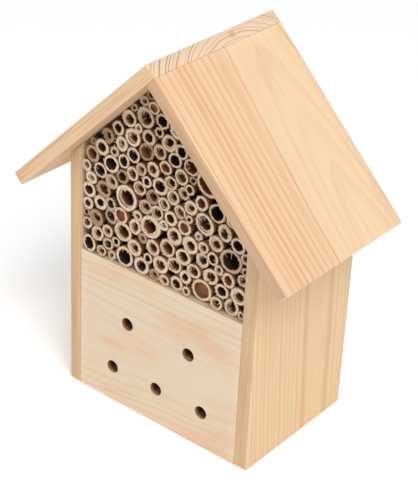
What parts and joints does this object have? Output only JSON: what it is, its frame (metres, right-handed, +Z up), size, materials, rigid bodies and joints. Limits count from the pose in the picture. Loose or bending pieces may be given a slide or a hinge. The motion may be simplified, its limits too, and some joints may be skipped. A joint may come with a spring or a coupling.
{
  "type": "insect hotel",
  "caption": "Small gabled pine house filled with cut hollow reeds above a solid front with drilled entrances, for solitary bees; hangs by a keyhole plate or stands.",
  "frame": {"origin": "under the middle of the whole house, on the surface it stands on", "axes": "+Z up; the open front with the reeds faces -Y; the keyhole plate faces +Y"},
  "size_m": [0.2128, 0.117, 0.2554],
  "materials": {
    "pine_roof": "planed, bare",
    "pine_wall": "planed, bare",
    "pine_front": "planed, bare",
    "pine_inside": "planed, bare",
    "pine_back": "planed, bare",
    "reed": "cut, bare",
    "large_reed": "cut, bare",
    "beech": "bare",
    "zinc_plate": "zinc plated",
    "steel": "bright"
  },
  "bodies": {
    "root": {"back_panel": "pine_back", "back_panel_dowels": "beech", "floor_board": "pine_inside", "floor_dowels": "beech", "front_panel": "pine_front", "front_panel_dowels": "beech", "gable_dowels": "beech", "hanger_plate": "zinc_plate", "hanger_screws": "steel", "large_reed_01": "large_reed", "large_reed_02": "large_reed", "large_reed_03": "large_reed", "large_reed_04": "large_reed", "large_reed_05": "large_reed", "large_reed_06": "large_reed", "large_reed_07": "large_reed", "large_reed_08": "large_reed", "large_reed_09": "large_reed", "left_wall": "pine_wall", "reed_bundle_01": "reed", "reed_bundle_02": "reed", "reed_bundle_03": "reed", "reed_bundle_04": "reed", "reed_bundle_05": "reed", "reed_bundle_06": "reed", "reed_bundle_07": "reed", "reed_bundle_08": "reed", "reed_bundle_09": "reed", "reed_bundle_10": "reed", "reed_bundle_11": "reed", "reed_bundle_12": "reed", "reed_bundle_13": "reed", "reed_bundle_14": "reed", "reed_bundle_15": "reed", "reed_bundle_16": "reed", "reed_bundle_17": "reed", "reed_bundle_18": "reed", "reed_bundle_19": "reed", "reed_bundle_20": "reed", "reed_bundle_21": "reed", "reed_bundle_22": "reed", "reed_bundle_23": "reed", "reed_bundle_24": "reed", "reed_bundle_25": "reed", "reed_bundle_26": "reed", "reed_bundle_27": "reed", "reed_bundle_28": "reed", "reed_bundle_29": "reed", "reed_bundle_30": "reed", "reed_bundle_31": "reed", "reed_bundle_32": "reed", "reed_bundle_33": "reed", "reed_bundle_34": "reed", "ridge_nails": "steel", "right_wall": "pine_wall", "roof_left": "pine_roof", "roof_right": "pine_roof", "shelf_board": "pine_inside", "shelf_dowels": "beech"}
  },
  "joints": []
}
